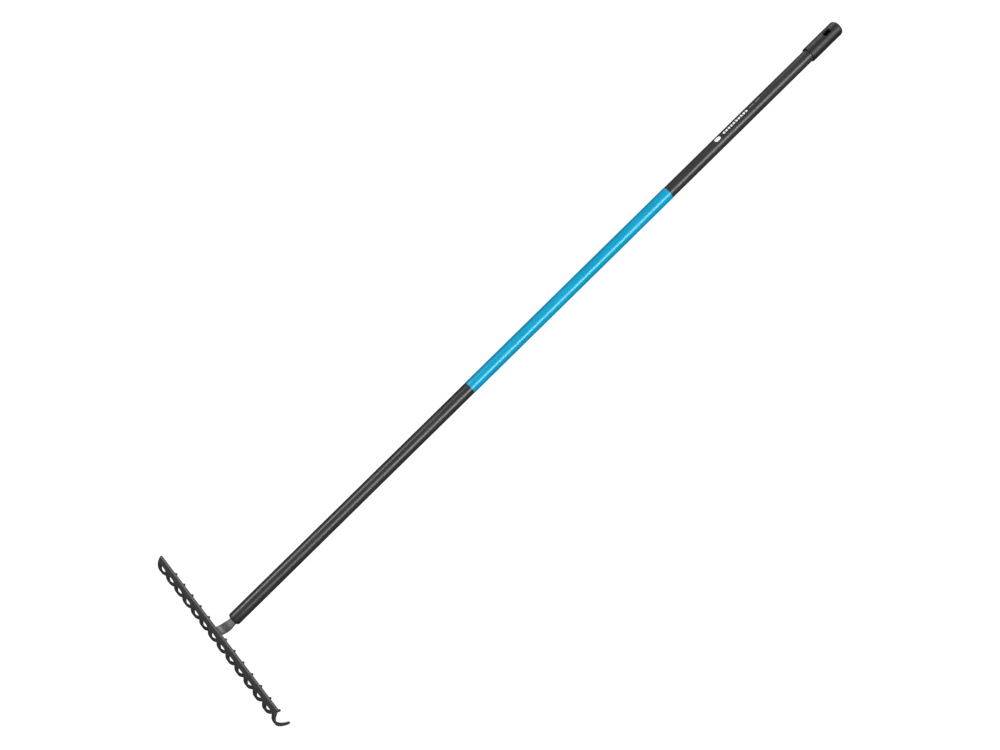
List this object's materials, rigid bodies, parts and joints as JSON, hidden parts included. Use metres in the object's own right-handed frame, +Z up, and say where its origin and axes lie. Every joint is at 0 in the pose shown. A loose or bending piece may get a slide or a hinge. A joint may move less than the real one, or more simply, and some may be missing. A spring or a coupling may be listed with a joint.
{
  "type": "garden rake",
  "caption": "Level-head garden rake: curved steel tines on a straight bar, flat goose-neck strip, long tubular handle with a coloured sleeve and an end cap with a hang slot.",
  "frame": {"origin": "on the ground under the middle of the rake's overall length, on its plane of symmetry", "axes": "+Y from the head to the grip, +X along the head, +Z up; the rake lies on its tine tips and its end cap, so the handle slopes down to the grip by under two degrees"},
  "size_m": [0.3898, 1.6167, 0.0789],
  "materials": {
    "graphite_paint": "satin dark graphite powder coat",
    "tube_paint": "semi-gloss dark graphite paint",
    "blue_sleeve": "gloss sky-blue film",
    "black_plastic": "matte black moulded plastic",
    "rivet_steel": "plain steel blind rivet"
  },
  "bodies": {
    "root": {"colour_sleeve": "blue_sleeve", "end_cap": "black_plastic", "handle_tube": "tube_paint", "head_bar": "graphite_paint", "neck": "graphite_paint", "nose_plug": "black_plastic", "tang_rivet": "rivet_steel", "tine_01": "graphite_paint", "tine_02": "graphite_paint", "tine_03": "graphite_paint", "tine_04": "graphite_paint", "tine_05": "graphite_paint", "tine_06": "graphite_paint", "tine_07": "graphite_paint", "tine_08": "graphite_paint", "tine_09": "graphite_paint", "tine_10": "graphite_paint", "tine_11": "graphite_paint", "tine_12": "graphite_paint", "tine_13": "graphite_paint", "tine_14": "graphite_paint", "weld_lower": "graphite_paint", "weld_upper": "graphite_paint"}
  },
  "joints": []
}
